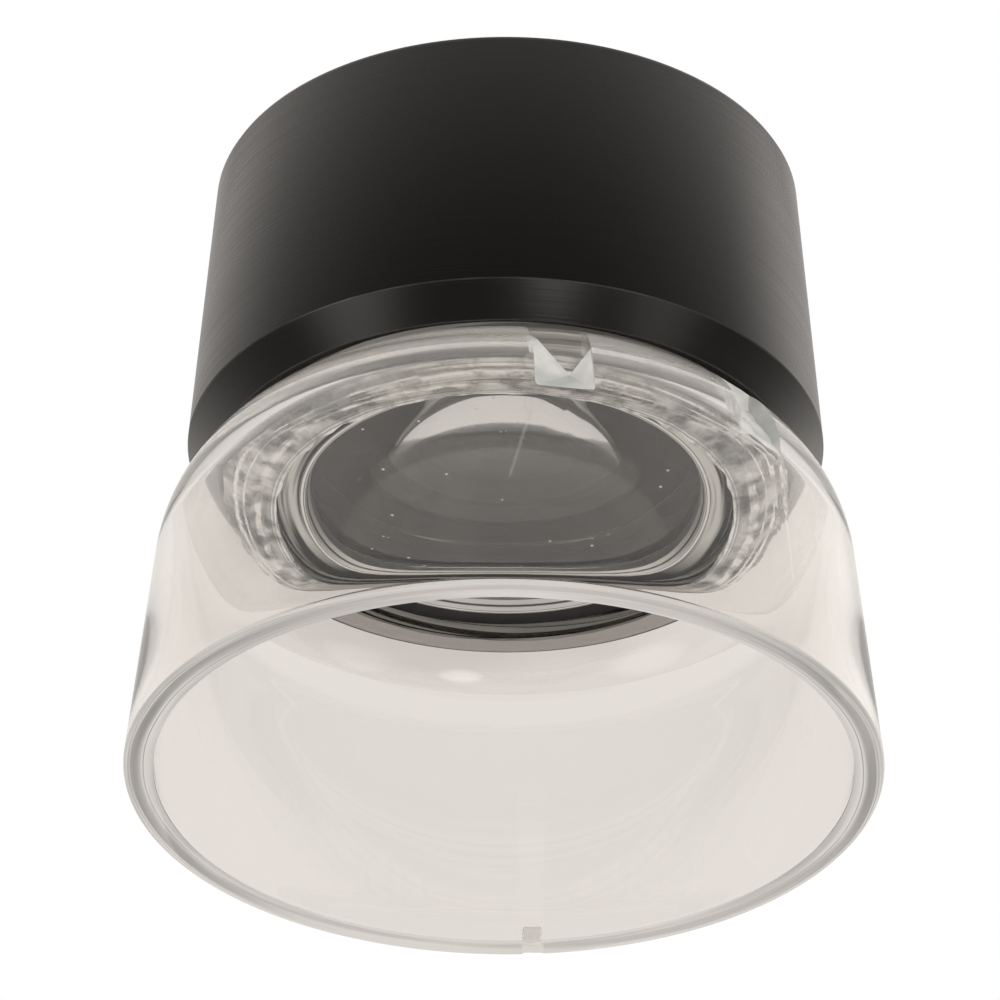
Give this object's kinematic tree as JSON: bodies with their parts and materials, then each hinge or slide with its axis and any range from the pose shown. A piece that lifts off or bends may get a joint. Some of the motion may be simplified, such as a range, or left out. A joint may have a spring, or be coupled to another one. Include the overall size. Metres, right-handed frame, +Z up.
{
  "type": "stand magnifier",
  "caption": "Stand magnifier with a tapered black focusing head that screws on the threaded neck of a clear bell-shaped skirt open at its rim.",
  "frame": {"origin": "middle of the flat rim that the magnifier stands on", "axes": "+Z up along the optical axis towards the eye, -Y towards the side with the notch in the shoulder"},
  "size_m": [0.043, 0.043, 0.0393],
  "materials": {
    "clear_acrylic": "clear, moulded and polished",
    "cement": "rough cured clear cement",
    "black_anodised": "satin black anodised, turned",
    "matt_black": "matt black anodised",
    "bright_aluminium": "bright turned",
    "optical_glass": "polished and coated",
    "black_brass": "turned brass, chemically blackened",
    "brass": "turned brass",
    "pin_steel": "ground steel",
    "white_ptfe": "smooth white fluoropolymer",
    "drag_rubber": "greased nitrile rubber"
  },
  "bodies": {
    "base": {"skirt": "clear_acrylic", "neck": "clear_acrylic", "cement_fillet": "cement"},
    "guide": {"guide_ring": "black_brass"},
    "head": {"barrel": "black_anodised", "focusing_nut": "black_brass", "stop_pin": "pin_steel", "glide_washer": "white_ptfe", "focus_shim": "brass", "lens_cell": "matt_black", "drag_ring": "drag_rubber", "lower_retainer": "bright_aluminium", "lower_lens": "optical_glass", "lower_spacer": "matt_black", "aperture_stop": "matt_black", "flint_lens": "optical_glass", "crown_lens": "optical_glass", "upper_spacer": "matt_black", "upper_lens": "optical_glass", "upper_retainer": "matt_black", "lock_ring": "matt_black", "eye_cap": "black_anodised"}
  },
  "joints": [
    {"name": "focus_travel", "type": "slide", "parent": "base", "child": "guide", "axis": [0, 0, 1], "range_m": [0, 0.003]},
    {"name": "focus_turn", "type": "hinge", "parent": "guide", "child": "head", "pos_m": [0, 0, 0.025], "axis": [0, 0, 1], "range_deg": [0, 270]}
  ],
  "couplings": [
    {"joint": "focus_travel", "follows": "focus_turn", "m_per_rad": 0.00063662}
  ]
}
